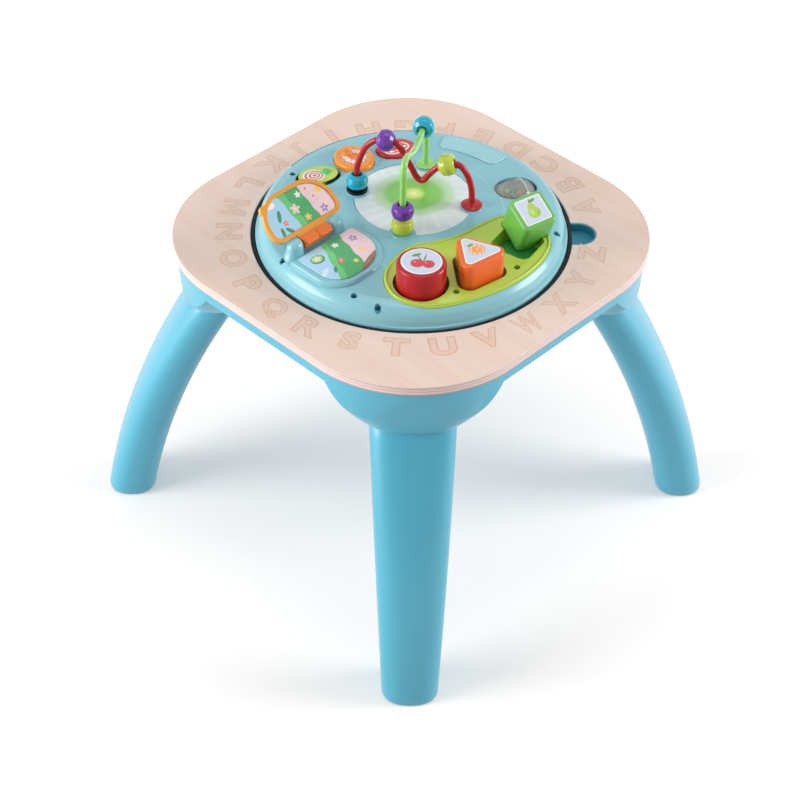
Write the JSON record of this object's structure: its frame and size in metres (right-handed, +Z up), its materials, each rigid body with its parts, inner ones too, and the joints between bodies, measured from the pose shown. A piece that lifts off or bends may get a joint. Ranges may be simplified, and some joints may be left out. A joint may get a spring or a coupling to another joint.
{
  "type": "musical activity table",
  "caption": "Low play table: rounded-square wooden top on arched plastic legs, with a round lift-out music panel of bead wires, keys, book, roller and shape blocks.",
  "frame": {"origin": "on the floor under the middle of the table", "axes": "+Z up; the table's straight sides lie along X and Y, and its legs stand on the diagonals"},
  "size_m": [0.5636, 0.5636, 0.5236],
  "materials": {
    "board_wood": "satin lacquer",
    "frame_plastic": "fine satin",
    "shell_plastic": "gloss",
    "steel": "zinc plated",
    "black_rubber": "matt",
    "milky_window": "translucent",
    "circuit_green": "satin",
    "dark_plastic": "satin",
    "lime_plastic": "gloss",
    "bright_green_plastic": "gloss",
    "red_plastic": "gloss",
    "orange_plastic": "gloss",
    "leaf_green_plastic": "gloss",
    "label_paper": "printed film",
    "green_wire_plastic": "gloss",
    "purple_plastic": "high gloss",
    "teal_plastic": "high gloss",
    "lime_bead_plastic": "high gloss",
    "book_frame_plastic": "gloss",
    "printed_card": "printed film",
    "clear_plastic": "clear",
    "silicone": "matt"
  },
  "bodies": {
    "table": {"tabletop_board": "board_wood", "support_frame": "frame_plastic", "leg_right": "frame_plastic", "leg_back": "frame_plastic", "leg_left": "frame_plastic", "leg_front": "frame_plastic", "leg_bolt_1": "steel", "leg_bolt_2": "steel", "leg_bolt_3": "steel", "leg_bolt_4": "steel", "board_screw_1": "steel", "board_screw_2": "steel", "board_screw_3": "steel", "board_screw_4": "steel", "gap_gasket": "black_rubber"},
    "play_panel": {"panel_top_shell": "shell_plastic", "panel_bottom_shell": "frame_plastic", "light_window": "milky_window", "circuit_board": "circuit_green", "speaker": "dark_plastic", "battery_door": "frame_plastic", "battery_door_screw": "steel", "battery_1": "dark_plastic", "battery_2": "dark_plastic", "shell_screw_1": "steel", "shell_screw_2": "steel", "shell_screw_3": "steel", "bare_plate": "shell_plastic", "shape_tray": "lime_plastic", "tray_floor": "bright_green_plastic", "red_wire": "red_plastic", "green_wire": "green_wire_plastic", "wire_collar": "black_rubber", "key_dome_green": "silicone", "key_dome_orange": "silicone", "key_dome_red": "silicone", "book_base_plate": "printed_card", "book_hinge_pin": "steel", "roller_axle": "steel"},
    "green_key": {"key_green": "lime_plastic"},
    "orange_key": {"key_orange": "orange_plastic"},
    "red_key": {"key_red": "red_plastic"},
    "round_block": {"red_block": "red_plastic", "red_label": "label_paper"},
    "three_cornered_block": {"orange_block": "orange_plastic", "orange_label": "label_paper"},
    "square_block": {"green_block": "leaf_green_plastic", "green_label": "label_paper"},
    "book": {"book_flap": "book_frame_plastic", "book_page": "printed_card"},
    "roller": {"rattle_roller": "clear_plastic", "rattle_ball_1": "purple_plastic", "rattle_ball_2": "teal_plastic"},
    "switch": {"power_switch": "dark_plastic"},
    "front_low_bead": {"lime_bead_front": "lime_bead_plastic"},
    "front_high_bead": {"purple_bead_front": "purple_plastic"},
    "left_bead": {"teal_bead_left": "teal_plastic"},
    "red_arch_bead": {"purple_bead_top": "purple_plastic"},
    "red_slope_bead": {"lime_bead_right": "lime_bead_plastic"},
    "green_arch_bead": {"teal_bead_top": "teal_plastic"}
  },
  "joints": [
    {"name": "panel_lift", "type": "slide", "parent": "table", "child": "play_panel", "axis": [0, 0, 1], "range_m": [0, 0.06]},
    {"name": "green_key_press", "type": "slide", "parent": "play_panel", "child": "green_key", "axis": [0, 0, -1], "range_m": [0, 0.003], "stiffness_N_per_m": 400, "springref_m": -0.002, "deforming": ["key_dome_green"]},
    {"name": "orange_key_press", "type": "slide", "parent": "play_panel", "child": "orange_key", "axis": [0, 0, -1], "range_m": [0, 0.003], "stiffness_N_per_m": 400, "springref_m": -0.002, "deforming": ["key_dome_orange"]},
    {"name": "red_key_press", "type": "slide", "parent": "play_panel", "child": "red_key", "axis": [0, 0, -1], "range_m": [0, 0.003], "stiffness_N_per_m": 400, "springref_m": -0.002, "deforming": ["key_dome_red"]},
    {"name": "round_block_lift", "type": "slide", "parent": "play_panel", "child": "round_block", "axis": [0, 0, 1], "range_m": [0, 0.045]},
    {"name": "three_cornered_block_lift", "type": "slide", "parent": "play_panel", "child": "three_cornered_block", "axis": [0, 0, 1], "range_m": [0, 0.045]},
    {"name": "square_block_lift", "type": "slide", "parent": "play_panel", "child": "square_block", "axis": [0.3725, -0.1973, 0.9068], "range_m": [0, 0.04]},
    {"name": "book_hinge", "type": "hinge", "parent": "play_panel", "child": "book", "pos_m": [-0.03677, -0.1195, 0.436], "axis": [0, 1, 0], "range_deg": [0, 142]},
    {"name": "roller_spin", "type": "hinge", "parent": "play_panel", "child": "roller", "pos_m": [0.05267, 0.12056, 0.413], "axis": [0.4003, 0.9164, 0], "continuous": true},
    {"name": "switch_slide", "type": "slide", "parent": "play_panel", "child": "switch", "axis": [0.7071, 0.7071, 0], "range_m": [-0.004, 0.004]},
    {"name": "front_low_bead_spin", "type": "hinge", "parent": "play_panel", "child": "front_low_bead", "pos_m": [0.02109, -0.0375, 0.43845], "axis": [0, 0, 1], "continuous": true},
    {"name": "front_high_bead_slide", "type": "slide", "parent": "play_panel", "child": "front_high_bead", "axis": [0, 0, 1], "range_m": [0, 0.024]},
    {"name": "left_bead_slide", "type": "slide", "parent": "play_panel", "child": "left_bead", "axis": [0, 0, 1], "range_m": [0, 0.006]},
    {"name": "red_arch_bead_spin", "type": "hinge", "parent": "play_panel", "child": "red_arch_bead", "pos_m": [-0.04447, 0.0013, 0.50332], "axis": [0.8423, 0.5387, 0.0162], "continuous": true},
    {"name": "red_slope_bead_spin", "type": "hinge", "parent": "play_panel", "child": "red_slope_bead", "pos_m": [0.01635, 0.04019, 0.48088], "axis": [0.7942, 0.5079, 0.3336], "continuous": true},
    {"name": "green_arch_bead_spin", "type": "hinge", "parent": "play_panel", "child": "green_arch_bead", "pos_m": [-0.04256, 0.06201, 0.49396], "axis": [-0.5384, 0.8419, -0.0353], "continuous": true}
  ]
}
